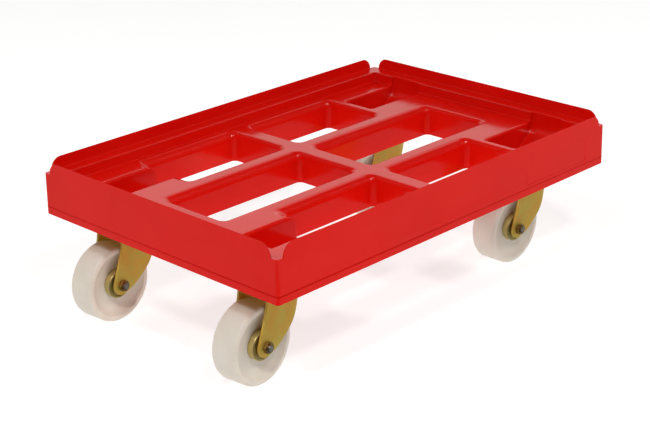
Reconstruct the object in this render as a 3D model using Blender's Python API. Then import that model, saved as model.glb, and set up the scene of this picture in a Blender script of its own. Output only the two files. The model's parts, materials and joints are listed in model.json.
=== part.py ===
"""Swivel-castor transport dolly for 600 x 400 mm containers: a moulded grid deck on four castors.

Metres, +Z up, floor at z = 0, +X is the way the dolly is heading when all castors trail.
"""
import math

import bmesh
import bpy
from mathutils import Matrix, Vector

# ---- deck, outside ------------------------------------------------------------------------
DECK_L = 0.620                    # outer length, along X
DECK_W = 0.420                    # outer width, along Y
SKIRT_H = 0.071                   # skirt foot to rim top
DRAFT = 0.0009                    # the skirt leans in by this much over its height
CORNER_R = 0.004                  # vertical corner rounding of the skirt
SKIRT_T = 0.004                   # skirt wall
RIM_T = 0.003                     # rim wall at its top edge
WALL_T = 0.0035                   # every other moulded wall
DECK_X = 0.011                    # deck middle ahead of the origin: the trailing wheels reach out behind

# ---- deck, inside -------------------------------------------------------------------------
LEDGE_Z = 0.055                   # seat ledge above the skirt foot
DECK_Z = 0.041                    # deck surface above the skirt foot
LEDGE_INSET = 0.021               # ledge inner edge in from the outer face, long ends
LEDGE_INSET_W = 0.020             # the same, long sides
RIM_STOP = 0.0095                 # rim ends short of the outer corner by this much
RIM_END_R = 0.015                 # rounding of the rim's upper end
MID_WALL = 0.020                  # opening wall to deck middle line, cross rib
ROW_B_HALF = 0.1162 * DECK_W      # half width of the middle row of openings
ROW_A_IN = 0.1974 * DECK_W        # inner wall of the outer rows
ROW_A_OUT = DECK_W / 2 - 0.0365   # outer wall of the outer rows
ROW_B_END = DECK_L / 2 - 0.070    # end wall of the middle openings
ROW_A_END_F = DECK_L / 2 - 0.142  # end wall of the outer openings, front
ROW_A_END_R = DECK_L / 2 - 0.138  # the same, rear
OPEN_R = 0.010                    # plan rounding of an opening at its walls
OPEN_LIP = 0.012                  # rounding from the deck surface down into an opening
OPEN_DRAFT = 0.0012               # an opening narrows by this much per side towards its foot
POCKET_IN = DECK_W / 2 - 0.1065   # corner pocket, side nearest the middle
POCKET_OUT = DECK_W / 2 - 0.0560  # corner pocket, side nearest the skirt
POCKET_END = DECK_L / 2 - 0.0185  # corner pocket, outer end
POCKET_FRONT_START = DECK_L / 2 - 0.123   # front pockets stop here: a thin rib parts them from the opening
POCKET_FLOOR = 0.008              # pocket floor above the skirt foot

# ---- castors ------------------------------------------------------------------------------
SWIVEL_X = DECK_L / 2 - 0.069     # swivel axis from the deck middle
SWIVEL_Y = DECK_W / 2 - 0.080
WHEEL_R = 0.050
WHEEL_W = 0.037
WHEEL_SHOULDER = 0.003
TRAIL = 0.040                     # axle behind the swivel axis
CASTOR_H = 2 * WHEEL_R + 0.028    # floor to the underside of the mounting pad
AXLE_Z = WHEEL_R - CASTOR_H       # axle below the pad
PAD_DROP = 0.001                  # pad stands this proud of the skirt foot
HUB_DISH = WHEEL_W / 2 - 0.009    # dish floor from the wheel's middle plane
CAP_R = 0.0185                    # hub cap
CAGE_R = 0.012                    # roller bearing, outside
AXLE_R = 0.004
SLEEVE_R = 0.006
LEG_IN = WHEEL_W / 2 + 0.002      # inner face of a fork leg from the middle plane
CAP_OUT = LEG_IN - 0.0015         # hub cap face from the middle plane
STEEL_T = 0.003                   # pressed steel
LEG_END_R = 0.013
CROWN_Z = -0.0081                 # top of the fork crown below the pad
CREASE_X = -0.020                 # the legs lean in a little ahead of this line
LEG_TURN = 0.05                   # by this much per length
WRAP_X = WHEEL_R - TRAIL + 0.004  # ahead of this line they wrap in round the crown
WRAP_TURN = 0.35
PLATE_L = 0.105
PLATE_W = 0.085
BOLT_PITCH_X = 0.080
BOLT_PITCH_Y = 0.068              # clears the pocket between the bolts
BOLT_R = 0.004
BOLT_UP = 0.024                   # bolt tip above the pad underside
HEX_AF = 0.013                    # across flats, nuts and bolt heads
BOSS_R = 0.008
KING_R = 0.010

GAP = 0.0003                      # between pieces that touch
FOOT_Z = CASTOR_H + PAD_DROP      # skirt foot above the floor
CORNERS = (                       # name, side along X, side along Y, castor yaw in degrees
    ("front_left", 1, 1, -3.0),
    ("front_right", 1, -1, 0.0),
    ("rear_left", -1, 1, 3.5),
    ("rear_right", -1, -1, 4.5),
)

RED = (0.60, 0.012, 0.010)
NYLON = (0.78, 0.72, 0.62)
GOLD_ZINC = (0.52, 0.36, 0.10)
BRIGHT_ZINC = (0.55, 0.53, 0.50)

for old in list(bpy.data.objects):
    bpy.data.objects.remove(old, do_unlink=True)


def material(name, colour, roughness, metallic):
    """One Principled material."""
    mat = bpy.data.materials.new(name)
    mat.use_nodes = True
    shader = mat.node_tree.nodes["Principled BSDF"]
    shader.inputs["Base Color"].default_value = (*colour, 1.0)
    shader.inputs["Roughness"].default_value = roughness
    shader.inputs["Metallic"].default_value = metallic
    return mat


def finish(name, bm, look, place=None):
    """Turns a bmesh into the named object; place sets where its origin and axes are."""
    bmesh.ops.recalc_face_normals(bm, faces=bm.faces)
    mesh = bpy.data.meshes.new(name)
    bm.to_mesh(mesh)
    bm.free()
    obj = bpy.data.objects.new(name, mesh)
    bpy.context.scene.collection.objects.link(obj)
    if place is not None:
        obj.matrix_world = place
    if look is not None:
        colour, roughness, metallic = look
        mesh.materials.append(material(name, colour, roughness, metallic))
    return obj


def rounded_rect(x0, x1, y0, y1, r, steps=4):
    """Corner points of a rounded rectangle, anticlockwise."""
    points = []
    for cx, cy, start in ((x1 - r, y1 - r, 0), (x0 + r, y1 - r, 90), (x0 + r, y0 + r, 180), (x1 - r, y0 + r, 270)):
        for k in range(steps + 1):
            turn = math.radians(start + 90 * k / steps)
            points.append((cx + r * math.cos(turn), cy + r * math.sin(turn)))
    return points


def loft(rings, closed=False):
    """A closed body through rings of equal point count; flat ends, or end joined to start."""
    bm = bmesh.new()
    rows = [[bm.verts.new(p) for p in ring] for ring in rings]
    count = len(rows[0])
    pairs = list(zip(rows, rows[1:]))
    if closed:
        pairs.append((rows[-1], rows[0]))
    for low, high in pairs:
        for k in range(count):
            j = (k + 1) % count
            bm.faces.new((low[k], low[j], high[j], high[k]))
    if not closed:
        bm.faces.new(list(reversed(rows[0])))
        bm.faces.new(rows[-1])
    bmesh.ops.recalc_face_normals(bm, faces=bm.faces)
    return bm


def prism(outline, low, high, axis="Z"):
    """An outline in the other two axes, extruded along one axis from low to high."""
    def point(a, b, c):
        return {"Z": (a, b, c), "Y": (a, c, b), "X": (c, a, b)}[axis]
    return loft([[point(a, b, low) for a, b in outline], [point(a, b, high) for a, b in outline]])


def box(x0, x1, y0, y1, z0, z1):
    return prism([(x0, y0), (x1, y0), (x1, y1), (x0, y1)], z0, z1)


def turned(profile, steps, axis="Z"):
    """A closed (radius, along) profile turned about an axis; radii stay above zero."""
    rings = []
    for k in range(steps):
        turn = 2 * math.pi * k / steps
        c, s = math.cos(turn), math.sin(turn)
        if axis == "Z":
            rings.append([(r * c, r * s, a) for r, a in profile])
        else:
            rings.append([(r * c, a, r * s) for r, a in profile])
    return loft(rings, closed=True)


def disc(radius, low, high, steps, axis="Z", turn=0.0):
    outline = []
    for k in range(steps):
        angle = turn + 2 * math.pi * k / steps
        outline.append((radius * math.cos(angle), radius * math.sin(angle)))
    return prism(outline, low, high, axis)


def gather(bodies):
    """Several bmeshes as one, for bodies that don't meet."""
    whole = bmesh.new()
    for bm in bodies:
        mesh = bpy.data.meshes.new("part")
        bm.to_mesh(mesh)
        bm.free()
        whole.from_mesh(mesh)
        bpy.data.meshes.remove(mesh)
    return whole


def shifted(bm, x=0.0, y=0.0, z=0.0):
    bmesh.ops.translate(bm, verts=bm.verts, vec=Vector((x, y, z)))
    return bm


def mirrored(make):
    """make(side_x, side_y) for the four corners, gathered."""
    return gather([make(sx, sy) for _, sx, sy, _ in CORNERS])


def combine(base, tool, operation):
    """Exact boolean of two bmeshes; both are used up."""
    a = finish("base", base, None)
    b = finish("tool", tool, None)
    step = a.modifiers.new("step", "BOOLEAN")
    step.operation = operation
    step.solver = "EXACT"
    step.object = b
    graph = bpy.context.evaluated_depsgraph_get()
    result = bpy.data.meshes.new_from_object(a.evaluated_get(graph))
    bm = bmesh.new()
    bm.from_mesh(result)
    bpy.data.meshes.remove(result)
    for obj in (a, b):
        mesh = obj.data
        bpy.data.objects.remove(obj, do_unlink=True)
        bpy.data.meshes.remove(mesh)
    return bm


def tidy(bm):
    """Welds the seams a boolean leaves and drops slivers."""
    bmesh.ops.remove_doubles(bm, verts=bm.verts, dist=0.000005)
    bmesh.ops.dissolve_degenerate(bm, edges=bm.edges, dist=0.000002)
    return bm


# ---- deck ---------------------------------------------------------------------------------
def lip_levels(wall, lip, foot, top, steps):
    """(offset, z) up an opening wall: drafted foot, straight wall, rounded lip, straight up."""
    levels = [(wall - OPEN_DRAFT, foot), (wall, DECK_Z - OPEN_LIP)]
    for k in range(1, steps + 1):
        turn = math.radians(90 * k / steps)
        levels.append((wall + lip * (1 - math.cos(turn)), DECK_Z - OPEN_LIP + lip * math.sin(turn)))
    levels.append((levels[-1][0], top))
    return levels


def opening(bounds, wall, lip, foot, top, steps=4):
    x0, x1, y0, y1 = bounds
    rings = []
    for off, z in lip_levels(wall, lip, foot, top, steps):
        outline = rounded_rect(x0 - off, x1 + off, y0 - off, y1 + off, OPEN_R + off)
        rings.append([(x, y, z) for x, y in outline])
    return loft(rings)


def opening_bounds():
    """Wall positions of the six grid openings, deck middle as origin."""
    rows = []
    for y0, y1, front, rear in (
        (ROW_A_IN, ROW_A_OUT, ROW_A_END_F, ROW_A_END_R),
        (-ROW_B_HALF, ROW_B_HALF, ROW_B_END, ROW_B_END),
        (-ROW_A_OUT, -ROW_A_IN, ROW_A_END_F, ROW_A_END_R),
    ):
        rows.append((-rear, -MID_WALL, y0, y1))
        rows.append((MID_WALL, front, y0, y1))
    return rows


def pocket_outline(side, start):
    """Side view of a pocket: flat floor, then the end wall curving up to the ledge."""
    curve = ((0.0295, POCKET_FLOOR), (0.0260, 0.0113), (0.0170, 0.0175), (0.0115, 0.0221),
             (0.0060, 0.0268), (0.0024, 0.0319), (0.0009, 0.0382), (0.0, 0.0480))
    outline = [(side * start, 0.060), (side * start, POCKET_FLOOR)]
    outline += [(side * (POCKET_END - back), z) for back, z in curve]
    outline.append((side * POCKET_END, 0.060))
    return outline


def corner_box(x0, x1, y0, y1, z0, z1):
    def make(sx, sy):
        xs, ys = sorted((sx * x0, sx * x1)), sorted((sy * y0, sy * y1))
        return box(xs[0], xs[1], ys[0], ys[1], z0, z1)
    return make


def make_deck():
    half_l, half_w = DECK_L / 2, DECK_W / 2
    ring_l, ring_w = half_l - LEDGE_INSET, half_w - LEDGE_INSET_W

    def ring(hx, hy, r, z, steps=3):
        return [(x, y, z) for x, y in rounded_rect(-hx, hx, -hy, hy, r, steps)]

    deck = loft([ring(half_l, half_w, CORNER_R, 0.0), ring(half_l - DRAFT, half_w - DRAFT, CORNER_R, SKIRT_H)])
    # The hollow under the ledge, and the seat between the rims.
    deck = combine(deck, loft([
        ring(half_l - SKIRT_T, half_w - SKIRT_T, 0.003, -0.001),
        ring(half_l - SKIRT_T - DRAFT, half_w - SKIRT_T - DRAFT, 0.003, LEDGE_Z - WALL_T),
    ]), "DIFFERENCE")
    deck = combine(deck, loft([
        ring(half_l - SKIRT_T - DRAFT, half_w - SKIRT_T - DRAFT, 0.002, LEDGE_Z),
        ring(half_l - RIM_T - DRAFT, half_w - RIM_T - DRAFT, 0.002, SKIRT_H + 0.001),
    ]), "DIFFERENCE")
    deck = combine(deck, loft([
        ring(ring_l, ring_w, 0.006, LEDGE_Z - 0.006),
        ring(ring_l, ring_w, 0.006, LEDGE_Z + 0.001),
    ]), "DIFFERENCE")

    def rim_end(stop):
        """Upper end of a rim: what is cut away, seen from the side, for one direction."""
        points = []
        for k in range(6):
            turn = math.radians(90 * k / 5)
            points.append((stop - RIM_END_R + RIM_END_R * math.cos(turn),
                           SKIRT_H - RIM_END_R + RIM_END_R * math.sin(turn)))
        last = points[-1][0]
        return [(stop, LEDGE_Z)] + points + [(last, SKIRT_H + 0.004), (stop + 0.02, SKIRT_H + 0.004),
                                            (stop + 0.02, LEDGE_Z)]

    long_end, short_end = rim_end(half_l - RIM_STOP), rim_end(half_w - RIM_STOP)
    deck = combine(deck, mirrored(lambda sx, sy: prism(
        [(sx * a, b) for a, b in long_end], *sorted((sy * (half_w - 0.006), sy * (half_w + 0.005))), "Y",
    )), "DIFFERENCE")
    deck = combine(deck, mirrored(lambda sx, sy: prism(
        [(sy * a, b) for a, b in short_end], *sorted((sx * (half_l - 0.006), sx * (half_l + 0.005))), "X",
    )), "DIFFERENCE")

    # The tray inside the ledge: its floor is the deck.
    tray = loft([ring(ring_l + WALL_T, ring_w + WALL_T, 0.0095, DECK_Z - WALL_T),
                 ring(ring_l + WALL_T, ring_w + WALL_T, 0.0095, LEDGE_Z - 0.001)])
    tray = combine(tray, loft([ring(ring_l - 0.0007, ring_w - 0.0007, 0.006, DECK_Z),
                               ring(ring_l, ring_w, 0.006, LEDGE_Z + 0.001)]), "DIFFERENCE")
    deck = combine(deck, tray, "UNION")

    # Opening walls, pocket boxes, castor pads with their bosses, stiffening ribs.
    tubes = [opening(b, WALL_T, OPEN_LIP - WALL_T, 0.0, DECK_Z - 0.0008, 2) for b in opening_bounds()]
    for tube in tubes:
        deck = combine(deck, tube, "UNION")
    t = WALL_T
    deck = combine(deck, mirrored(corner_box(
        POCKET_FRONT_START - t, POCKET_END + t, POCKET_IN - t, POCKET_OUT + t, POCKET_FLOOR - t, DECK_Z - 0.0006,
    )), "UNION")
    deck = combine(deck, mirrored(corner_box(
        ring_l + 0.001, POCKET_END + t, POCKET_IN - t, POCKET_OUT + t, DECK_Z - 0.010, LEDGE_Z - 0.001,
    )), "UNION")
    deck = combine(deck, gather([
        box(-ROW_A_END_R - 0.028, -ROW_A_END_R + 0.012, sy * POCKET_IN - t if sy > 0 else -POCKET_OUT - t,
            POCKET_OUT + t if sy > 0 else -POCKET_IN + t, POCKET_FLOOR - t, DECK_Z - 0.0006)
        for sy in (1, -1)
    ]), "UNION")
    deck = combine(deck, mirrored(corner_box(
        SWIVEL_X - PLATE_L / 2 - 0.001, SWIVEL_X + PLATE_L / 2 + 0.001,
        SWIVEL_Y - PLATE_W / 2 - 0.001, SWIVEL_Y + PLATE_W / 2 + 0.001, -PAD_DROP, 0.005,
    )), "UNION")
    for ix in (-1, 1):
        for iy in (-1, 1):
            deck = combine(deck, mirrored(lambda sx, sy: shifted(
                disc(BOSS_R, 0.003, DECK_Z - 0.002, 12),
                sx * SWIVEL_X + ix * BOLT_PITCH_X / 2, sy * SWIVEL_Y + iy * BOLT_PITCH_Y / 2)), "UNION")
    ribs = []
    for x in (-0.100, 0.0, 0.100):
        for side in (-1, 1):
            ys = sorted((side * (half_w - SKIRT_T), side * (ROW_A_OUT + 0.001)))
            ribs.append(box(x - 0.0015, x + 0.0015, ys[0] - 0.0005, ys[1] + 0.0005, 0.006, DECK_Z - 0.001))
    for side in (-1, 1):
        for y in (-0.052, 0.0, 0.052):
            xs = sorted((side * (half_l - SKIRT_T + 0.001), side * (ROW_B_END - 0.001)))
            ribs.append(box(xs[0], xs[1], y - 0.0015, y + 0.0015, 0.006, DECK_Z - 0.001))
    deck = combine(deck, gather(ribs), "UNION")

    # Everything that goes right through, or down to a pocket floor.
    for b in opening_bounds():
        deck = combine(deck, opening(b, 0.0, OPEN_LIP, -0.002, DECK_Z + 0.003), "DIFFERENCE")
    deck = combine(deck, mirrored(lambda sx, sy: prism(
        pocket_outline(sx, POCKET_FRONT_START if sx > 0 else ROW_A_END_R - 0.008),
        *sorted((sy * POCKET_IN, sy * POCKET_OUT)), "Y")), "DIFFERENCE")
    for ix in (-1, 1):
        for iy in (-1, 1):
            deck = combine(deck, mirrored(lambda sx, sy: shifted(
                disc(BOLT_R + GAP, -0.003, BOLT_UP + 0.001, 12),
                sx * SWIVEL_X + ix * BOLT_PITCH_X / 2, sy * SWIVEL_Y + iy * BOLT_PITCH_Y / 2)), "DIFFERENCE")
    shifted(deck, DECK_X, 0.0, FOOT_Z)
    finish("deck", tidy(deck), (RED, 0.28, 0.0))


# ---- castor pieces, each about its own origin ---------------------------------------------
def hexagon(low, high, axis, af=HEX_AF, turn=0.0):
    return disc(af / 2 / math.cos(math.pi / 6), low, high, 6, axis, turn)


def top_plate():
    """Bolt-on plate with the upper ball race pressed down in its middle."""
    hx, hy = PLATE_L / 2, PLATE_W / 2
    plate = prism(rounded_rect(-hx, hx, -hy, hy, 0.010), -GAP - STEEL_T, -GAP)
    race = disc(0.030, GAP - 0.0081, -0.0020, 24)
    plate = combine(plate, race, "UNION")
    holes = [disc(KING_R + GAP, -0.012, 0.002, 20)]
    for ix in (-1, 1):
        for iy in (-1, 1):
            holes.append(shifted(disc(BOLT_R + GAP, -0.012, 0.002, 12), ix * BOLT_PITCH_X / 2, iy * BOLT_PITCH_Y / 2))
    return combine(plate, gather(holes), "DIFFERENCE")


def king_pin():
    top, crown = -0.0008, CROWN_Z - STEEL_T
    head = LEG_IN - 0.0035
    profile = ((0.0005, top), (KING_R - 0.001, top), (KING_R, top - 0.001), (KING_R, crown - GAP),
               (head, crown - GAP), (head, crown - 0.0035), (head - 0.005, crown - 0.006), (0.0005, crown - 0.006))
    shape = [(0.0, a) if r < 0.001 else (r, a) for r, a in profile]
    return lathe(shape, 20)


def lathe(profile, steps, axis="Z"):
    """Turned body whose first and last profile points lie on the axis."""
    bm = bmesh.new()
    def place(r, a, turn):
        c, s = math.cos(turn), math.sin(turn)
        return (r * c, r * s, a) if axis == "Z" else (r * c, a, r * s)
    first, last = bm.verts.new(place(0, profile[0][1], 0)), bm.verts.new(place(0, profile[-1][1], 0))
    rows = [[bm.verts.new(place(r, a, 2 * math.pi * k / steps)) for k in range(steps)] for r, a in profile[1:-1]]
    for k in range(steps):
        j = (k + 1) % steps
        bm.faces.new((first, rows[0][k], rows[0][j]))
        bm.faces.new((last, rows[-1][j], rows[-1][k]))
        for low, high in zip(rows, rows[1:]):
            bm.faces.new((low[k], low[j], high[j], high[k]))
    return bm


def leg_plane(x):
    """Outer face of a leg from the middle plane, at x."""
    return LEG_IN + STEEL_T - max(0.0, x - CREASE_X) * LEG_TURN - max(0.0, x - WRAP_X) * WRAP_TURN


def along(curve, x):
    """Height of a left-to-right curve at x."""
    for (x0, z0), (x1, z1) in zip(curve, curve[1:]):
        if x0 <= x <= x1:
            return z0 + (z1 - z0) * (x - x0) / (x1 - x0)
    raise ValueError(x)


def leg(side):
    """One leg, in slices along X between its upper and lower edges."""
    top = CROWN_Z - 0.0002
    tip = -TRAIL - LEG_END_R
    upper = [(tip, AXLE_Z + 0.001), (tip + 0.0008, 0.9167 * AXLE_Z), (tip + 0.0075, 0.7244 * AXLE_Z),
             (-0.0370, 0.3846 * AXLE_Z), (-0.0358, 0.2692 * AXLE_Z), (-0.0335, top), (WRAP_X + 0.018, top)]
    lower = [(tip, AXLE_Z - 0.001)]
    for k in range(1, 7):
        turn = math.radians(180 + 110 * k / 6)
        lower.append((-TRAIL + LEG_END_R * math.cos(turn), AXLE_Z + LEG_END_R * math.sin(turn)))
    lower += [(CREASE_X, AXLE_Z - 0.006), (WRAP_X - 0.011, 0.9103 * AXLE_Z), (WRAP_X, 0.7756 * AXLE_Z),
              (WRAP_X + 0.0105, 0.6154 * AXLE_Z), (WRAP_X + 0.015, 0.4872 * AXLE_Z),
              (WRAP_X + 0.017, 0.3333 * AXLE_Z), (WRAP_X + 0.018, top - 0.004)]
    stations = sorted({x for x, _ in upper + lower})
    rings = []
    for x in stations:
        low, high = along(lower, x), along(upper, x)
        out, inn = side * leg_plane(x), side * (leg_plane(x) - STEEL_T)
        rings.append([(x, inn, low), (x, out, low), (x, out, high), (x, inn, high)])
    return loft(rings)


def fork():
    """Crown and two legs in one pressing."""
    body = gather([leg(1), leg(-1)])
    inset = 0.0002
    upper = [(WRAP_X + 0.0222, LEG_IN - 0.0135), (WRAP_X + 0.0205, LEG_IN - 0.0080)]
    upper += [(x, leg_plane(x) - inset) for x in (WRAP_X + 0.0175, WRAP_X, CREASE_X, -0.0290)]
    upper += [(-0.0330, LEG_IN + 0.0010), (-0.0362, LEG_IN - 0.0040)]
    lower = [(x, -y) for x, y in reversed(upper)]
    crown = prism(upper + lower, CROWN_Z - STEEL_T, CROWN_Z)
    body = combine(body, crown, "UNION")
    body = combine(body, disc(KING_R + GAP, -0.020, 0.0, 20), "DIFFERENCE")
    bores = gather([shifted(disc(AXLE_R + GAP, low, high, 16, "Y"), -TRAIL, 0.0, AXLE_Z)
                    for low, high in ((-0.030, -0.015), (0.015, 0.030))])
    return tidy(combine(body, bores, "DIFFERENCE"))


def axle_bolt():
    """Head on the +Y leg, threaded end through the nut on the -Y leg."""
    face = LEG_IN + STEEL_T + GAP
    tip = -(face + 0.0078)
    shank = lathe([(0, tip), (AXLE_R - 0.0006, tip), (AXLE_R, tip + 0.0006), (AXLE_R, face + 0.001),
                   (0, face + 0.001)], 16, "Y")
    return combine(shank, hexagon(face, face + 0.0053, "Y"), "UNION")


def axle_nut():
    face = LEG_IN + STEEL_T + GAP
    nut = hexagon(-face - 0.0065, -face, "Y")
    return combine(nut, disc(AXLE_R + GAP, -0.040, -0.010, 16, "Y"), "DIFFERENCE")


def wheel():
    """Nylon wheel, dished on both sides, bored for its roller bearing."""
    half, s = WHEEL_W / 2, WHEEL_SHOULDER
    side = [(CAGE_R + GAP, HUB_DISH), (0.43 * WHEEL_R, HUB_DISH), (0.68 * WHEEL_R, half - 0.0057),
            (0.88 * WHEEL_R, half - 0.0005),
            (WHEEL_R - s, half), (WHEEL_R - s * 0.29, half - s * 0.29), (WHEEL_R, half - s)]
    profile = side + [(r, -a) for r, a in reversed(side)]
    return turned(profile, 36, "Y")


def hub_cap(side):
    """Pressed cup over the bearing end."""
    low, high = HUB_DISH + GAP, CAP_OUT
    profile = [(SLEEVE_R + GAP, low), (CAP_R, low), (CAP_R, high - 0.001), (CAP_R - 0.001, high),
               (CAP_R - 0.003, high), (CAP_R - 0.004, high - 0.002), (SLEEVE_R + GAP, high - 0.002)]
    return turned([(r, side * a) for r, a in profile], 20, "Y")


def tube(inner, outer, half, steps):
    return turned([(inner, -half), (outer, -half), (outer, half), (inner, half)], steps, "Y")


def plate_bolt():
    """Head below the plate, shank up into the boss."""
    seat = -GAP - STEEL_T - GAP
    shank = lathe([(0, BOLT_UP - PAD_DROP), (BOLT_R - 0.0008, BOLT_UP - PAD_DROP), (BOLT_R, BOLT_UP - PAD_DROP - 0.0008),
                   (BOLT_R, seat - 0.001), (0, seat - 0.001)], 12)
    return combine(shank, hexagon(seat - 0.0042, seat, "Z"), "UNION")


def make_castor(name, sx, sy, yaw):
    mount = Matrix.Translation((DECK_X + sx * SWIVEL_X, sy * SWIVEL_Y, CASTOR_H))
    swivel = mount @ Matrix.Rotation(math.radians(yaw), 4, "Z")
    axle = swivel @ Matrix.Translation((-TRAIL, 0.0, AXLE_Z))
    gold = (GOLD_ZINC, 0.34, 1.0)
    zinc = (BRIGHT_ZINC, 0.30, 1.0)
    finish(name + "_top_plate", top_plate(), gold, mount)
    finish(name + "_king_pin", king_pin(), zinc, mount)
    for k, (ix, iy) in enumerate(((1, 1), (1, -1), (-1, 1), (-1, -1)), 1):
        seat = mount @ Matrix.Translation((ix * BOLT_PITCH_X / 2, iy * BOLT_PITCH_Y / 2, 0.0))
        finish(f"{name}_plate_bolt_{k}", plate_bolt(), zinc, seat)
    finish(name + "_fork", fork(), gold, swivel)
    finish(name + "_axle_bolt", axle_bolt(), zinc, axle)
    finish(name + "_axle_nut", axle_nut(), zinc, axle)
    finish(name + "_axle_sleeve", tube(AXLE_R + GAP, SLEEVE_R, LEG_IN - GAP, 16), zinc, axle)
    finish(name + "_roller_bearing", tube(SLEEVE_R + GAP, CAGE_R, HUB_DISH - GAP, 20), zinc, axle)
    finish(name + "_wheel", wheel(), (NYLON, 0.42, 0.0), axle)
    finish(name + "_hub_cap_left", hub_cap(1), gold, axle)
    finish(name + "_hub_cap_right", hub_cap(-1), gold, axle)


make_deck()
for corner in CORNERS:
    make_castor(*corner)
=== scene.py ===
# %% [markdown]
# A transport dolly for standard containers: one red moulded deck with an open grid, carried by
# four swivel castors with pale nylon wheels and yellow-plated steel forks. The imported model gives
# every place and size; this lesson builds the finished surfaces over it, one part of the dolly at
# a time, and prints what each step made.

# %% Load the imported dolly
import json
import math

import bmesh
import bpy
from mathutils import Matrix, Vector


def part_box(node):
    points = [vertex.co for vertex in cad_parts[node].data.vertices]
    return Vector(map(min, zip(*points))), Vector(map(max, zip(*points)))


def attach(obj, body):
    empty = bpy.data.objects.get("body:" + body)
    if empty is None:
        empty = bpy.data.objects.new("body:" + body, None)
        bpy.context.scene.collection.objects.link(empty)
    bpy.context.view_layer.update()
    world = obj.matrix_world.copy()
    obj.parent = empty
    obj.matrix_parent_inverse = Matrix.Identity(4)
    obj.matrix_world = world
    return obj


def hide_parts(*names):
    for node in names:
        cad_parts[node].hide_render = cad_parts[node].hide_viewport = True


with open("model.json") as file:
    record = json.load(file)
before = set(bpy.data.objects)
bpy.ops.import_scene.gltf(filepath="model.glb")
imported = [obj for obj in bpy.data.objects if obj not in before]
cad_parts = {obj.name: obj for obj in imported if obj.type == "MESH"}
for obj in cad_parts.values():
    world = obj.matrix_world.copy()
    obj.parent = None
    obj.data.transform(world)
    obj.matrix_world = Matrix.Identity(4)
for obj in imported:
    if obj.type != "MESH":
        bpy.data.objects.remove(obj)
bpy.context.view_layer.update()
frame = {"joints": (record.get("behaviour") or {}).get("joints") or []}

# %% [markdown]
# The deck is a box seen from outside, so its packed box gives the length, the width, the height
# and the middle. The castor pads stand one millimetre below the skirt's foot, which is where the
# deck's own heights are counted from.

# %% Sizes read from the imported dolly
PAD_DROP = 0.001
deck_low, deck_high = (Vector(corner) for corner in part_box("deck"))
DECK_X = (deck_low.x + deck_high.x) / 2
FOOT_Z = deck_low.z + PAD_DROP
HALF_L = (deck_high.x - deck_low.x) / 2
HALF_W = (deck_high.y - deck_low.y) / 2
RIM_Z = deck_high.z - FOOT_Z
CORNERS = ("front_left", "front_right", "rear_left", "rear_right")
print(f"deck {2000 * HALF_L:.0f} x {2000 * HALF_W:.0f} mm, rim {1000 * RIM_Z:.0f} mm above the skirt's foot")

# %% [markdown]
# Each castor turns about an upright line through its plate and rolls about its axle. Both lines
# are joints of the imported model, so their places and directions are read from there, and a castor
# that stands a few degrees askew is built askew.

# %% Places of the castors
joint_at = {joint["name"]: joint for joint in frame["joints"]}
castors = {}
for corner in CORNERS:
    turn, roll = joint_at[corner + "_swivel_turn"], joint_at[corner + "_wheel_roll"]
    yaw = math.atan2(-roll["axis"][0], roll["axis"][1])
    swivel = Matrix.Translation(turn["pos_m"]) @ Matrix.Rotation(yaw, 4, "Z")
    axle = Matrix.Translation(roll["pos_m"]) @ Matrix.Rotation(yaw, 4, "Z")
    castors[corner] = {"yaw": yaw, "plate": Matrix.Translation(turn["pos_m"]), "swivel": swivel, "axle": axle}
    print(corner, f"yaw {math.degrees(yaw):+.1f} deg, axle {1000 * roll['pos_m'][2]:.0f} mm above the floor")

TRAIL = 0.040
AXLE_DROP = castors["rear_right"]["axle"].translation.z - castors["rear_right"]["plate"].translation.z

# %% [markdown]
# Bodies are made in two ways. A loft joins outlines of equal point count, which suits moulded
# walls with their draft and rounded edges. A lathe turns a profile round an axis, which suits
# wheels, caps and pins. Both give closed skins whose faces point outwards.

# %% Helpers for closed bodies
def loft(rings, closed=False):
    bm = bmesh.new()
    rows = [[bm.verts.new(point) for point in ring] for ring in rings]
    count = len(rows[0])
    pairs = list(zip(rows, rows[1:]))
    if closed:
        pairs.append((rows[-1], rows[0]))
    for low, high in pairs:
        for k in range(count):
            j = (k + 1) % count
            bm.faces.new((low[k], low[j], high[j], high[k]))
    if not closed:
        bm.faces.new(list(reversed(rows[0])))
        bm.faces.new(rows[-1])
    bmesh.ops.recalc_face_normals(bm, faces=bm.faces)
    return bm


def on_axis(radius, along, angle, axis):
    c, s = math.cos(angle), math.sin(angle)
    return (radius * c, radius * s, along) if axis == "Z" else (radius * c, along, radius * s)


def ring_lathe(profile, steps, axis="Z"):
    """A profile of (radius, along) points that never meets the axis, turned into a ring."""
    turns = [2 * math.pi * k / steps for k in range(steps)]
    return loft([[on_axis(r, a, turn, axis) for r, a in profile] for turn in turns], closed=True)


def solid_lathe(profile, steps, axis="Z"):
    """The same for a solid: its first and last points lie on the axis."""
    bm = bmesh.new()
    first, last = (bm.verts.new(on_axis(0, profile[k][1], 0, axis)) for k in (0, -1))
    rows = [[bm.verts.new(on_axis(r, a, 2 * math.pi * k / steps, axis)) for k in range(steps)]
            for r, a in profile[1:-1]]
    for k in range(steps):
        j = (k + 1) % steps
        bm.faces.new((first, rows[0][k], rows[0][j]))
        bm.faces.new((last, rows[-1][j], rows[-1][k]))
        for low, high in zip(rows, rows[1:]):
            bm.faces.new((low[k], low[j], high[j], high[k]))
    bmesh.ops.recalc_face_normals(bm, faces=bm.faces)
    return bm


def column(radius, low, high, steps, axis="Z"):
    """A plain round column, for bosses and for the tools that cut bores."""
    return solid_lathe([(0, low), (radius, low), (radius, high), (0, high)], steps, axis)


def arc(centre_a, centre_b, radius, start, end, steps):
    """Points on a circle from one angle to another, in degrees."""
    turns = [math.radians(start + (end - start) * k / steps) for k in range(steps + 1)]
    return [(centre_a + radius * math.cos(t), centre_b + radius * math.sin(t)) for t in turns]


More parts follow.
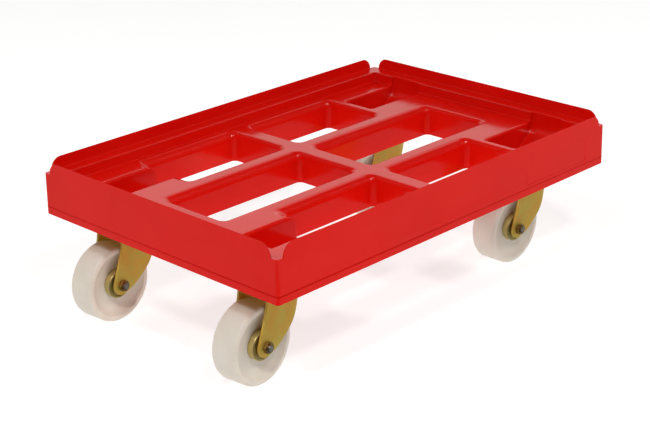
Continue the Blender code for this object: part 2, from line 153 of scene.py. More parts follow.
def rounded_rect(x0, x1, y0, y1, radius, steps=8):
    points = []
    for cx, cy, start in ((x1 - radius, y1 - radius, 0), (x0 + radius, y1 - radius, 90),
                          (x0 + radius, y0 + radius, 180), (x1 - radius, y0 + radius, 270)):
        points += arc(cx, cy, radius, start, start + 90, steps)
    return points


def prism(outline, low, high, axis="Z"):
    def point(a, b, c):
        return {"Z": (a, b, c), "Y": (a, c, b), "X": (c, a, b)}[axis]
    return loft([[point(a, b, low) for a, b in outline], [point(a, b, high) for a, b in outline]])


def rounded_tool(bounds, radius, profile, steps=8):
    """A loft of rounded rectangles that grow by each (offset, height) of a profile."""
    x0, x1, y0, y1 = bounds
    rings = []
    for off, z in profile:
        outline = rounded_rect(x0 - off, x1 + off, y0 - off, y1 + off, radius + off, steps)
        rings.append([(x, y, z) for x, y in outline])
    return loft(rings)


def gather(bodies):
    whole = bmesh.new()
    for bm in bodies:
        part = bpy.data.meshes.new("part")
        bm.to_mesh(part)
        bm.free()
        whole.from_mesh(part)
        bpy.data.meshes.remove(part)
    return whole


def moved(bm, matrix):
    bmesh.ops.transform(bm, matrix=matrix, verts=bm.verts)
    return bm


def shifted(bm, x=0.0, y=0.0, z=0.0):
    return moved(bm, Matrix.Translation((x, y, z)))


# %% [markdown]
# Material is added and taken away with exact booleans, as a toolmaker would cut a mould. The two
# bodies are put in the scene for a moment, the modifier is evaluated, and only the result stays.

# %% Boolean and finishing helpers
def to_object(name, bm):
    mesh = bpy.data.meshes.new(name)
    bm.to_mesh(mesh)
    bm.free()
    piece = bpy.data.objects.new(name, mesh)
    bpy.context.scene.collection.objects.link(piece)
    return piece


def drop(piece):
    mesh = piece.data
    bpy.data.objects.remove(piece, do_unlink=True)
    bpy.data.meshes.remove(mesh)


def evaluated(piece):
    graph = bpy.context.evaluated_depsgraph_get()
    mesh = bpy.data.meshes.new_from_object(piece.evaluated_get(graph), depsgraph=graph)
    bm = bmesh.new()
    bm.from_mesh(mesh)
    bpy.data.meshes.remove(mesh)
    return bm


def combine(base, tool, operation):
    a, b = to_object("base", base), to_object("tool", tool)
    step = a.modifiers.new("step", "BOOLEAN")
    step.operation, step.solver, step.object = operation, "EXACT", b
    bm = evaluated(a)
    drop(a)
    drop(b)
    return bm


def soften(piece, width, angle=40.0, segments=2):
    """Rounds every sharp edge a little, and shades the big faces flat and the rounds smooth."""
    for polygon in piece.data.polygons:
        polygon.use_smooth = True
    bevel = piece.modifiers.new("edges", "BEVEL")
    bevel.width, bevel.segments, bevel.limit_method = width, segments, "ANGLE"
    bevel.angle_limit = math.radians(angle)
    bevel.use_clamp_overlap = False
    bevel.miter_outer = "MITER_ARC"
    even = piece.modifiers.new("shading", "WEIGHTED_NORMAL")
    even.keep_sharp = True
    bm = evaluated(piece)
    piece.modifiers.clear()
    bm.to_mesh(piece.data)
    bm.free()
    return piece


def smooth_by_angle(piece, degrees=35.0):
    """Smooth shading that breaks at real corners, with the big faces keeping their own direction."""
    for polygon in piece.data.polygons:
        polygon.use_smooth = True
    piece.data.set_sharp_from_angle(angle=math.radians(degrees))
    even = piece.modifiers.new("shading", "WEIGHTED_NORMAL")
    even.keep_sharp = True
    return piece


def place_on(piece, body, nodes, look):
    """Gives a finished piece its material and its body, and hides the imported nodes that it stands for."""
    piece.data.materials.clear()
    piece.data.materials.append(look)
    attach(piece, body)
    if nodes:
        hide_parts(*nodes)
    print(f"{piece.name}: {len(piece.data.polygons)} faces on {body}")
    return piece


# %% [markdown]
# Three kinds of finish cover the dolly: moulded plastic, nylon and plated steel. Each is made of
# noise read in object space, so no pattern slides when a castor turns. These helpers add a node,
# stretch a range, mix two colours and turn a height into bump.

# %% Node helpers
def new_material(name):
    mat = bpy.data.materials.new(name)
    mat.use_nodes = True
    tree = mat.node_tree
    return mat, tree, tree.nodes["Principled BSDF"]


def add(tree, kind, **values):
    """A node with its settings and socket values; a key that is a socket name sets the socket."""
    node = tree.nodes.new(kind)
    for key, value in values.items():
        if hasattr(node, key):
            setattr(node, key, value)
        else:
            node.inputs[key.replace("_", " ")].default_value = value
    return node


def noise(tree, coords, scale, detail=3.0, stretch=None):
    source = coords
    if stretch is not None:
        mapping = add(tree, "ShaderNodeMapping")
        mapping.inputs["Scale"].default_value = stretch
        tree.links.new(coords, mapping.inputs["Vector"])
        source = mapping.outputs["Vector"]
    node = add(tree, "ShaderNodeTexNoise", Scale=scale, Detail=detail)
    tree.links.new(source, node.inputs["Vector"])
    return node.outputs["Fac"]


def ranged(tree, value, low, high, to_low, to_high):
    node = add(tree, "ShaderNodeMapRange")
    for name, number in (("From Min", low), ("From Max", high), ("To Min", to_low), ("To Max", to_high)):
        node.inputs[name].default_value = number
    tree.links.new(value, node.inputs["Value"])
    return node.outputs["Result"]


def two_tone(tree, factor, first, second):
    """A mix by factor; first and second are each a colour or the output of another node."""
    node = add(tree, "ShaderNodeMix", data_type="RGBA")
    sockets = {socket.identifier: socket for socket in node.inputs}
    tree.links.new(factor, sockets["Factor_Float"])
    for name, value in (("A_Color", first), ("B_Color", second)):
        if isinstance(value, tuple):
            sockets[name].default_value = (*value, 1.0)
        else:
            tree.links.new(value, sockets[name])
    return next(socket for socket in node.outputs if socket.identifier == "Result_Color")


def bump(tree, height, strength, distance, normal=None):
    node = add(tree, "ShaderNodeBump", Strength=strength, Distance=distance)
    tree.links.new(height, node.inputs["Height"])
    if normal is not None:
        tree.links.new(normal, node.inputs["Normal"])
    return node.outputs["Normal"]


# %% [markdown]
# The deck is through-coloured plastic: a saturated red with a smooth gloss, very slightly wavy
# from moulding and faintly scuffed. A coarse noise makes the waves and a fine one the grain.

# %% Red moulded plastic
RED = ((0.72, 0.0046, 0.0014), (0.78, 0.0064, 0.0022))


def red_plastic():
    mat, tree, shader = new_material("red_moulded_plastic")
    coords = add(tree, "ShaderNodeTexCoord").outputs["Object"]
    cloudy = ranged(tree, noise(tree, coords, 9.0, 4.0), 0.3, 0.7, 0.0, 1.0)
    tree.links.new(two_tone(tree, cloudy, *RED), shader.inputs["Base Color"])
    scuffs = noise(tree, coords, 60.0, 6.0, (0.25, 1.0, 1.0))
    tree.links.new(ranged(tree, scuffs, 0.35, 0.75, 0.12, 0.18), shader.inputs["Roughness"])
    wavy = bump(tree, noise(tree, coords, 14.0, 1.0), 0.10, 0.0006)
    grain = bump(tree, noise(tree, coords, 900.0, 1.0), 0.04, 0.0001, wavy)
    tree.links.new(grain, shader.inputs["Normal"])
    shader.inputs["IOR"].default_value = 1.49
    return mat


# %% [markdown]
# The wheels are cast nylon: cream, a little translucent, satin, with the fine rings that turning
# leaves on the side faces. A Mapping node centres the rings on each wheel's own axle.

# %% Nylon
CREAM = ((0.77, 0.70, 0.60), (0.84, 0.78, 0.69))


def nylon(corner):
    mat, tree, shader = new_material("cream_nylon_" + corner)
    coords = add(tree, "ShaderNodeTexCoord").outputs["Object"]
    place = add(tree, "ShaderNodeMapping", vector_type="TEXTURE")
    place.inputs["Location"].default_value = castors[corner]["axle"].translation
    place.inputs["Rotation"].default_value = (0.0, 0.0, castors[corner]["yaw"])
    tree.links.new(coords, place.inputs["Vector"])
    local = place.outputs["Vector"]
    flat = add(tree, "ShaderNodeVectorMath", operation="MULTIPLY")
    flat.inputs[1].default_value = (1.0, 0.0, 1.0)
    tree.links.new(local, flat.inputs[0])
    radius = add(tree, "ShaderNodeVectorMath", operation="LENGTH")
    tree.links.new(flat.outputs["Vector"], radius.inputs[0])
    rings = add(tree, "ShaderNodeTexNoise", noise_dimensions="1D", Scale=1400.0, Detail=2.0)
    tree.links.new(radius.outputs["Value"], rings.inputs["W"])
    cloudy = ranged(tree, noise(tree, local, 26.0, 3.0), 0.3, 0.7, 0.0, 1.0)
    tree.links.new(two_tone(tree, cloudy, *CREAM), shader.inputs["Base Color"])
    satin = ranged(tree, noise(tree, local, 90.0, 5.0), 0.3, 0.7, 0.34, 0.50)
    tree.links.new(satin, shader.inputs["Roughness"])
    soft = bump(tree, noise(tree, local, 160.0, 3.0), 0.12, 0.0003)
    tree.links.new(bump(tree, rings.outputs["Fac"], 0.10, 0.0001, soft), shader.inputs["Normal"])
    shader.inputs["Subsurface Weight"].default_value = 0.35
    shader.inputs["Subsurface Radius"].default_value = (1.0, 0.8, 0.6)
    shader.inputs["Subsurface Scale"].default_value = 0.004
    shader.inputs["IOR"].default_value = 1.53
    return mat


# %% [markdown]
# The pressed steel is zinc plated and passivated. The yellow film drifts between gold, olive and
# a faint rose over a few centimetres, and the rolled sheet under it leaves fine streaks.

# %% Plated steel
def plated(name, tones, rough, streak, metallic=1.0):
    mat, tree, shader = new_material(name)
    coords = add(tree, "ShaderNodeTexCoord").outputs["Object"]
    drift = ranged(tree, noise(tree, coords, 34.0, 2.0), 0.34, 0.66, 0.0, 1.0)
    patch = ranged(tree, noise(tree, coords, 75.0, 3.0), 0.50, 0.78, 0.0, 0.7)
    base = two_tone(tree, drift, tones[0], tones[1])
    tree.links.new(two_tone(tree, patch, base, tones[2]), shader.inputs["Base Color"])
    streaks = noise(tree, coords, 420.0, 4.0, streak)
    tree.links.new(ranged(tree, streaks, 0.3, 0.7, rough[0], rough[1]), shader.inputs["Roughness"])
    tree.links.new(bump(tree, streaks, 0.10, 0.0002), shader.inputs["Normal"])
    shader.inputs["Metallic"].default_value = metallic
    return mat


GOLD = ((0.98, 0.62, 0.10), (0.88, 0.68, 0.14), (0.99, 0.52, 0.11))
CAP = ((0.66, 0.53, 0.20), (0.60, 0.55, 0.24), (0.74, 0.52, 0.20))
ZINC = ((0.56, 0.54, 0.50), (0.50, 0.49, 0.47), (0.60, 0.56, 0.46))
NUT = ((0.42, 0.26, 0.10), (0.36, 0.30, 0.16), (0.55, 0.26, 0.08))
red = red_plastic()
gold = plated("yellow_zinc_steel", GOLD, (0.42, 0.58), (1.0, 1.0, 0.15), 0.66)
cap_finish = plated("green_yellow_zinc_steel", CAP, (0.30, 0.44), (1.0, 1.0, 0.4), 0.85)
zinc = plated("bright_zinc_steel", ZINC, (0.36, 0.52), (1.0, 1.0, 0.3))
nut_finish = plated("dark_yellow_zinc_steel", NUT, (0.22, 0.38), (1.0, 1.0, 1.0))
print("finishes made:", len(bpy.data.materials))

# %% [markdown]
# The deck starts as a drafted tub: an outer skirt that leans in slightly, a hollow under it, and a
# seat between two pairs of low rims. A container stands on the ledge inside the rims, and its foot
# reaches down to the deck surface inside the ledge.

# %% Deck sizes
LEDGE_Z, DECK_Z = 0.055, 0.041
DRAFT, SKIRT_T, RIM_T, WALL_T = 0.0009, 0.004, 0.0018, 0.0035
SEAT_L, SEAT_W = HALF_L - 0.021, HALF_W - 0.020
OPEN_R, SIDE_LIP, END_LIP, OPEN_DRAFT = 0.008, 0.012, 0.006, 0.0012
ROW_A_END_F, ROW_A_END_R = HALF_L - 0.137, HALF_L - 0.138
ROW_B_END, MID_WALL = HALF_L - 0.065, 0.0145
ROW_B_HALF, ROW_A_IN, ROW_A_OUT = 0.0488, 0.0829, HALF_W - 0.0345
POCKET_IN, POCKET_OUT, POCKET_END = HALF_W - 0.1065, HALF_W - 0.0560, HALF_L - 0.0185
POCKET_FLOOR, POCKET_FRONT_START = 0.008, HALF_L - 0.123
EDGE, CORNER_R, REAR_LIP = 0.0013, 0.004, 0.020
RIM_STOP, RIM_ROUND = 0.0115, 0.015
POCKET_BACK_START, POCKET_R = ROW_A_END_R - 0.008, 0.0022
PAD_X, PAD_Y, PAD_TOP, BOSS_R = 0.0535, 0.0435, 0.005, 0.008
BORE_R, KING_BORE_R = 0.0043, 0.0103
SWIVEL_X, SWIVEL_Y = HALF_L - 0.069, HALF_W - 0.080
BOLT_X, BOLT_Y = 0.040, 0.034
SIDES = [(sx, sy) for sx in (1, -1) for sy in (1, -1)]
print(f"deck surface {1000 * DECK_Z:.0f} mm and ledge {1000 * LEDGE_Z:.0f} mm above the skirt's foot")


def centred(half_x, half_y):
    return (-half_x, half_x, -half_y, half_y)


# %% Tub, seat and tray
def rim_cut(stop):
    """Side view of what is cut from the end of a rim: a quarter round down to the ledge."""
    points = arc(stop - RIM_ROUND, RIM_Z - RIM_ROUND, RIM_ROUND, 0, 90, 12)
    over, past = RIM_Z + 0.004, stop + 0.02
    return [(stop, LEDGE_Z)] + points + [(points[-1][0], over), (past, over), (past, LEDGE_Z)]


tub = rounded_tool(centred(HALF_L, HALF_W), CORNER_R, [(0.0, 0.0), (-DRAFT, RIM_Z)], 6)
tub = combine(tub, rounded_tool(centred(HALF_L - SKIRT_T, HALF_W - SKIRT_T), 0.003,
                                [(0.0, -0.001), (-DRAFT, LEDGE_Z - WALL_T)], 4), "DIFFERENCE")
tub = combine(tub, rounded_tool(centred(HALF_L - RIM_T - DRAFT, HALF_W - RIM_T - DRAFT), 0.002,
                                [(-0.0012, LEDGE_Z), (-0.0004, LEDGE_Z + 0.0004), (0.0, LEDGE_Z + 0.0012),
                                 (0.001, RIM_Z + 0.001)], 4), "DIFFERENCE")
seat_profile = [(0.0, LEDGE_Z - 0.006), (0.0, LEDGE_Z - EDGE)]
seat_profile += arc(EDGE, LEDGE_Z - EDGE, EDGE, 180, 90, 4)[1:] + [(EDGE, LEDGE_Z + 0.0008)]
tub = combine(tub, rounded_tool(centred(SEAT_L, SEAT_W), 0.006, seat_profile), "DIFFERENCE")
for stop, axis, near, far in ((HALF_L - RIM_STOP, "Y", HALF_W - 0.006, HALF_W + 0.005),
                              (HALF_W - RIM_STOP, "X", HALF_L - 0.006, HALF_L + 0.005)):
    cuts = []
    for along in (1, -1):
        for across in (1, -1):
            outline = [(along * a, b) for a, b in rim_cut(stop)]
            cuts.append(prism(outline, *sorted((across * near, across * far)), axis))
    tub = combine(tub, gather(cuts), "DIFFERENCE")
tray = rounded_tool(centred(SEAT_L + WALL_T, SEAT_W + WALL_T), 0.0095,
                    [(0.0, DECK_Z - WALL_T), (0.0, LEDGE_Z - 0.001)])
tray_inside = rounded_tool(centred(SEAT_L, SEAT_W), 0.006, [
    (-0.0022, DECK_Z), (-0.0011, DECK_Z + 0.0004), (-0.0006, DECK_Z + 0.0016), (0.0, LEDGE_Z + 0.001)])
tray = combine(tray, tray_inside, "DIFFERENCE")
deck = combine(tub, tray, "UNION")
print("tub and tray:", len(deck.faces), "faces")

# %% [markdown]
# The grid follows a rule: three rows, two openings to a row, each with the same wall, the same
# draft and the same large rounding where the deck surface rolls over into the wall. One function
# makes both the wall that is added and the shaft that is cut, at different offsets.

# %% Grid openings
openings = []
for y0, y1, front, rear, rear_lip in ((ROW_A_IN, ROW_A_OUT, ROW_A_END_F, ROW_A_END_R, REAR_LIP),
                                      (-ROW_B_HALF, ROW_B_HALF, ROW_B_END, ROW_B_END, END_LIP),
                                      (-ROW_A_OUT, -ROW_A_IN, ROW_A_END_F, ROW_A_END_R, REAR_LIP)):
    openings += [(-rear, -MID_WALL, y0, y1, rear_lip, END_LIP), (MID_WALL, front, y0, y1, END_LIP, END_LIP)]


def rolled(lip, z):
    """How far a rounded edge has moved out from its wall at height z."""
    rise = z - (DECK_Z - lip)
    return 0.0 if rise <= 0.0 else lip - math.sqrt(max(0.0, lip * lip - rise * rise))


def shaft(opening, wall, foot, top, steps, corner_steps):
    """A tapered shaft whose upper edge rolls outwards; wall moves every face out by that much."""
    x0, x1, y0, y1, rear_lip, front_lip = opening
    start = DECK_Z - SIDE_LIP
    levels = [(foot, foot, wall - OPEN_DRAFT), (start, start, wall)]
    for k in range(1, steps + 1):
        z = start + SIDE_LIP * math.sin(math.pi / 2 * k / steps)
        levels.append((z, z, wall))
    levels.append((top, DECK_Z, wall))
    rings = []
    for z, at, off in levels:
        back, front = off + rolled(rear_lip - wall, at), off + rolled(front_lip - wall, at)
        side = off + rolled(SIDE_LIP - wall, at)
        radius = OPEN_R + min(back, front, side)
        outline = rounded_rect(x0 - back, x1 + front, y0 - side, y1 + side, radius, corner_steps)
        rings.append([(x, y, z) for x, y in outline])
    return loft(rings)


walls = [shaft(opening, WALL_T, 0.0, DECK_Z - 0.0008, 4, 8) for opening in openings]
deck = combine(deck, gather(walls), "UNION")
print("grid openings:", len(openings))

# %% [markdown]
# Four deep pockets near the corners take the wheels of the next dolly when they are stacked. Under
# them sit the castor pads, and bosses rise from the pads to take the plate bolts.

# %% Pockets, pads and bosses
def corner_boxes(x0, x1, y0, y1, z0, z1):
    boxes = []
    for sx, sy in SIDES:
        xs, ys = sorted((sx * x0, sx * x1)), sorted((sy * y0, sy * y1))
        boxes.append(rounded_tool((xs[0], xs[1], ys[0], ys[1]), 0.0015, [(0.0, z0), (0.0, z1)], 3))
    return gather(boxes)


T = WALL_T
deck = combine(deck, corner_boxes(POCKET_FRONT_START - T, POCKET_END + T, POCKET_IN - T, POCKET_OUT + T,
                                  POCKET_FLOOR - T, DECK_Z - 0.0006), "UNION")
deck = combine(deck, corner_boxes(SEAT_L + 0.001, POCKET_END + T, POCKET_IN - T, POCKET_OUT + T,
                                  DECK_Z - 0.010, LEDGE_Z - 0.001), "UNION")
rear_boxes = []
for sy in (1, -1):
    ys = sorted((sy * (POCKET_IN - T), sy * (POCKET_OUT + T)))
    rear_boxes.append(rounded_tool((-ROW_A_END_R - 0.028, -ROW_A_END_R + 0.012, ys[0], ys[1]), 0.0015,
                                   [(0.0, POCKET_FLOOR - T), (0.0, DECK_Z - 0.0006)], 3))
deck = combine(deck, gather(rear_boxes), "UNION")
deck = combine(deck, corner_boxes(SWIVEL_X - PAD_X, SWIVEL_X + PAD_X, SWIVEL_Y - PAD_Y, SWIVEL_Y + PAD_Y,
                                  -PAD_DROP, PAD_TOP), "UNION")


def at_plate_bolts(radius, low, high, steps):
    """Columns at the bolts of the plates: one group for each bolt, with one column per plate."""
    for ix in (-1, 1):
        for iy in (-1, 1):
            yield gather([shifted(column(radius, low, high, steps), sx * SWIVEL_X + ix * BOLT_X,
                                  sy * SWIVEL_Y + iy * BOLT_Y) for sx, sy in SIDES])


for bosses in at_plate_bolts(BOSS_R, 0.003, DECK_Z - 0.002, 24):
    deck = combine(deck, bosses, "UNION")
print("pockets, pads and bosses:", len(deck.faces), "faces")

# %% [markdown]
# Now everything that goes through is cut: the six shafts, the four pockets with their outer ends
# curved to clear a wheel, and the bolt holes. The pocket's rim gets its own small rounding.

# %% Through cuts
POCKET_CURVE = ((0.0295, POCKET_FLOOR), (0.0278, 0.0093), (0.0260, 0.0109), (0.0215, 0.0142),
                (0.0170, 0.0175), (0.0115, 0.0221), (0.0085, 0.0244), (0.0060, 0.0268), (0.0040, 0.0292),
                (0.0024, 0.0322), (0.0014, 0.0352), (0.0009, 0.0382), (0.0004, 0.0430), (0.0, 0.0480))


def pocket_cut(sx, sy):
    start = POCKET_FRONT_START if sx > 0 else POCKET_BACK_START
    rings = []
    levels = list(POCKET_CURVE) + [(0.0, LEDGE_Z - EDGE)]
    rolled_edge = arc(EDGE, LEDGE_Z - EDGE, EDGE, 180, 90, 3)[1:]
    levels += [(-a, b) for a, b in rolled_edge] + [(-EDGE, LEDGE_Z + 0.0008)]
    for back, z in levels:
        grow = max(0.0, -back)
        xs = sorted((sx * (start - grow), sx * (POCKET_END - back)))
        ys = sorted((sy * (POCKET_IN - grow), sy * (POCKET_OUT + grow)))
        rings.append([(x, y, z) for x, y in rounded_rect(xs[0], xs[1], ys[0], ys[1], POCKET_R, 4)])
    return loft(rings)


def pocket_edge(sx, sy):
    start = POCKET_FRONT_START if sx > 0 else POCKET_BACK_START
    edge = 0.0042
    xs = sorted((sx * start, sx * (SEAT_L - 0.0075)))
    ys = sorted((sy * POCKET_IN, sy * POCKET_OUT))
    profile = [(-0.0002, DECK_Z - edge - 0.001), (0.0, DECK_Z - edge)]
    profile += arc(edge, DECK_Z - edge, edge, 180, 90, 4)[1:] + [(edge, DECK_Z + 0.0008)]
    return rounded_tool((xs[0], xs[1], ys[0], ys[1]), POCKET_R, profile, 4)


deck = combine(deck, gather([shaft(opening, 0.0, -0.002, DECK_Z + 0.003, 12, 10) for opening in openings]),
               "DIFFERENCE")
deck = combine(deck, gather([pocket_cut(sx, sy) for sx, sy in SIDES]), "DIFFERENCE")
deck = combine(deck, gather([pocket_edge(sx, sy) for sx, sy in SIDES]), "DIFFERENCE")
NOSE_R, REACH = 0.0030, 0.0006
noses = []
for sy in (1, -1):
    x, y = -ROW_A_END_R, POCKET_IN
    outline = [(x + REACH, y - NOSE_R), (x + REACH, y + REACH), (x - NOSE_R, y + REACH)]
    outline += arc(x - NOSE_R, y - NOSE_R, NOSE_R, 90, 0, 8)
    noses.append(prism([(a, sy * b) for a, b in outline], POCKET_FLOOR + 0.002, DECK_Z + 0.001))
deck = combine(deck, gather(noses), "DIFFERENCE")
for holes in at_plate_bolts(BORE_R, -0.003, 0.025, 20):
    deck = combine(deck, holes, "DIFFERENCE")
print("after the cuts:", len(deck.faces), "faces")

# %% [markdown]
# A mould leaves its mark: a hair-fine groove runs round the skirt about a centimetre above its
# foot, where the two halves of the tool met, and a very shallow panel lies near the front end of
# each side. The finished deck is then cleaned of slivers and its sharp edges are rounded.

# %% Moulding marks
def skirt_ring(depth, z0, z1):
    """A closed band round the skirt that reaches a little into it."""
    def outline(off, z):
        return [(x, y, z) for x, y in rounded_rect(-HALF_L - off, HALF_L + off, -HALF_W - off, HALF_W + off,
                                                   CORNER_R + off, 6)]
    inset = -depth - DRAFT * z0 / RIM_Z
    return loft([outline(0.002, z0), outline(0.002, z1), outline(inset, z1), outline(inset, z0)], closed=True)


GROOVE_DEPTH, PANEL_DEPTH = 0.00016, 0.00012
deck = combine(deck, skirt_ring(GROOVE_DEPTH, 0.0092, 0.0102), "DIFFERENCE")
panels = []
for sy in (1, -1):
    face = HALF_W - DRAFT * 0.5
    ys = sorted((sy * (face - PANEL_DEPTH), sy * (face + 0.004)))
    outline = rounded_rect(HALF_L - 0.170, HALF_L - 0.042, 0.0145, 0.0520, 0.003, 4)
    panels.append(prism(outline, ys[0], ys[1], "Y"))
deck = combine(deck, gather(panels), "DIFFERENCE")
bmesh.ops.remove_doubles(deck, verts=deck.verts, dist=0.00002)
bmesh.ops.dissolve_degenerate(deck, edges=deck.edges, dist=0.00002)
bmesh.ops.dissolve_limit(deck, angle_limit=math.radians(0.3), verts=deck.verts, edges=deck.edges)
shell = to_object("deck_shell", shifted(deck, DECK_X, 0.0, FOOT_Z))
soften(shell, 0.0005, 38.0, 2)
smooth_by_angle(shell, 32.0)
place_on(shell, "dolly", ["deck"], red)

# %% [markdown]
# Every castor is the same product, so each piece is made once about its own origin and copied to
# the four corners. A copy's place goes into its mesh, and the object itself stays at the origin.

# %% Copies at the corners
def at_corners(maker, tail, body_tail, key, node_tails, look, angle=35.0, edge=0.0):
    """One finished piece per corner; look may be a material or a function of the corner."""
    master = maker()
    for corner in CORNERS:
        bm = moved(master.copy(), castors[corner][key])
        piece = to_object(f"{corner}_{tail}", bm)
        if edge > 0.0:
            soften(piece, edge, 45.0, 2)
        smooth_by_angle(piece, angle)
        body = corner + body_tail if body_tail else "dolly"
        nodes = [f"{corner}_{name}" for name in node_tails]
        place_on(piece, body, nodes, look(corner) if callable(look) else look)
    master.free()


# %% [markdown]
# The fork is one pressing: a crown under the plate and two legs that bend down from it. A leg is
# lofted in upright slices along its length, because its two edges are free curves and its face
# leans inwards ahead of a crease, wrapping round the crown at the front.

# %% Leg curves
LEG_FACE, STEEL_T, CROWN_Z = 0.0235, 0.003, -0.0081
CREASE_X, WRAP_X, LEG_END_R, BEND_R = -0.020, 0.014, 0.013, 0.0060
LEG_TOP = CROWN_Z - 0.0001


def leg_plane(x):
    """Outer face of a leg from the middle plane; the two changes of direction are blended."""
    def ramp(distance, blend):
        if distance <= -blend:
            return 0.0
        if distance >= blend:
            return distance
        return (distance + blend) ** 2 / (4 * blend)
    return LEG_FACE - 0.09 * ramp(x - CREASE_X, 0.002) - 0.35 * ramp(x - WRAP_X, 0.006)


def spline(points, steps=6):
    """A smooth curve through points that run from left to right."""
    ends = [points[0]] + list(points) + [points[-1]]
    curve = []
    for k in range(1, len(ends) - 2):
        (x0, z0), (x1, z1), (x2, z2), (x3, z3) = ends[k - 1:k + 3]
        slope_in = (z2 - z0) / max(x2 - x0, 1e-6)
        slope_out = (z3 - z1) / max(x3 - x1, 1e-6)
        for step in range(steps):
            t = step / steps
            h = x2 - x1
            z = ((2 * t ** 3 - 3 * t ** 2 + 1) * z1 + (t ** 3 - 2 * t ** 2 + t) * h * slope_in
                 + (-2 * t ** 3 + 3 * t ** 2) * z2 + (t ** 3 - t ** 2) * h * slope_out)
            curve.append((x1 + h * t, z))
    return curve + [points[-1]]


def along(curve, x):
    for (x0, z0), (x1, z1) in zip(curve, curve[1:]):
        if x0 <= x <= x1:
            return z0 + (z1 - z0) * (x - x0) / max(x1 - x0, 1e-9)
    return curve[-1][1] if x > curve[-1][0] else curve[0][1]


TIP = -TRAIL - LEG_END_R
upper_edge = [(TIP, AXLE_DROP + 0.0008)] + arc(-TRAIL, AXLE_DROP, LEG_END_R, 178, 158, 4)[1:]
upper_edge += spline([(-0.0511, -0.0705), (-0.0480, -0.0620), (-0.0435, -0.0500), (-0.0372, -0.0300),
                      (-0.0357, -0.0210), (-0.0337, LEG_TOP)], 5)
upper_edge += [(0.0365, LEG_TOP)]
lower_edge = [(TIP, AXLE_DROP - 0.0008)] + arc(-TRAIL, AXLE_DROP, LEG_END_R, 182, 302, 20)[1:]
lower_edge += spline([(-0.0260, -0.0868), (-0.0190, -0.0838), (-0.0080, -0.0776), (0.0030, -0.0705),
                      (0.0140, -0.0602), (0.0210, -0.0520), (0.0262, -0.0440), (0.0305, -0.0350),
                      (0.0340, -0.0240), (0.0365, LEG_TOP - 0.006)], 5)
print("leg edge points:", len(upper_edge), len(lower_edge))

# %% [markdown]
# Both legs and the crown are joined into one body. Then the king pin's hole and the axle's two
# bores are cut, and points that fall on each other are merged.

# %% Fork
def leg(side):
    stations = [TIP]
    for x in sorted(x for x, _ in upper_edge + lower_edge):
        if x - stations[-1] > 0.0005:
            stations.append(x)
    rings = []
    for x in stations:
        low, high = along(lower_edge, x), along(upper_edge, x)
        face = leg_plane(x)
        bend = BEND_R * min(1.0, max(0.02, (x + 0.0340) / 0.0050))
        outer = arc(face - bend, high - bend, bend, 0, 88, 6)
        inner_bend = max(0.0002, bend - STEEL_T)
        if bend > STEEL_T + 0.0002:
            inner = arc(face - bend, high - bend, inner_bend, 88, 0, 6)
        else:
            inner = [(face - STEEL_T, high - bend * k / 6 * 0.2) for k in range(7)]
        foot = [(face - STEEL_T, low), (face, low)]
        above = [(y, min(max(z, low + 0.0001), high)) for y, z in outer + inner]
        rings.append([(x, side * y, z) for y, z in foot + above])
    return loft(rings)


def crown():
    back, front = -0.0362, 0.0392
    places = (0.0340, 0.0300, 0.0240, 0.0180, WRAP_X, 0.004, -0.008, CREASE_X, -0.0300)
    side = [(x, leg_plane(x) - BEND_R + 0.0004) for x in places]
    nose = [(front, 0.0030), (front - 0.0006, 0.0060), (front - 0.0028, 0.0080)]
    tail = [(-0.0345, 0.0165), (back, 0.0140)]
    half = nose + side + tail
    return prism(half + [(x, -y) for x, y in reversed(half)], CROWN_Z - STEEL_T, CROWN_Z)


def fork():
    body = combine(gather([leg(1), leg(-1)]), crown(), "UNION")
    body = combine(body, column(KING_BORE_R, -0.020, 0.0, 40), "DIFFERENCE")
    bores = []
    for side in (1, -1):
        ends = sorted((side * 0.015, side * 0.030))
        bores.append(shifted(column(BORE_R, *ends, 32, "Y"), -TRAIL, 0.0, AXLE_DROP))
    body = combine(body, gather(bores), "DIFFERENCE")
    bmesh.ops.remove_doubles(body, verts=body.verts, dist=0.00001)
    bmesh.ops.dissolve_degenerate(body, edges=body.edges, dist=0.00001)
    return body


at_corners(fork, "fork_pressing", "_swivel", "swivel", ["fork"], gold, 38.0, edge=0.0003)

# %% [markdown]
# The wheel is turned on a lathe in real life too. Its tread is nearly flat with rounded shoulders,
# and each side dishes inwards to a flat floor round the hub.

# %% Wheel
WHEEL_R, WHEEL_HALF, DISH = 0.050, 0.0185, 0.0095


def wheel():
    shoulder = 0.0045
    side = [(0.0123, DISH - 0.0004), (0.0128, DISH), (0.0200, DISH)]
    side += spline([(0.0230, DISH), (0.0280, 0.0101), (0.0340, 0.0120), (0.0385, 0.0144), (0.0413, 0.0168),
                    (0.0426, 0.0181)], 4)
    side += [(0.0431, 0.0184), (0.0437, WHEEL_HALF)]
    side += arc(WHEEL_R - shoulder, WHEEL_HALF - shoulder, shoulder, 90, 0, 8)
    side += [(WHEEL_R, 0.008), (WHEEL_R, 0.0007), (WHEEL_R - 0.0001, 0.0005), (WHEEL_R - 0.0001, 0.0002)]
    return ring_lathe(side + [(r, -a) for r, a in reversed(side)], 128, "Y")


at_corners(wheel, "nylon_wheel", "_roll", "axle", ["wheel"], nylon, 45.0)

# %% [markdown]
# A pressed cap closes each end of the bearing: a shallow cup with a rolled, brighter rim, a flat
# web set back from it, and a hole for the axle sleeve.

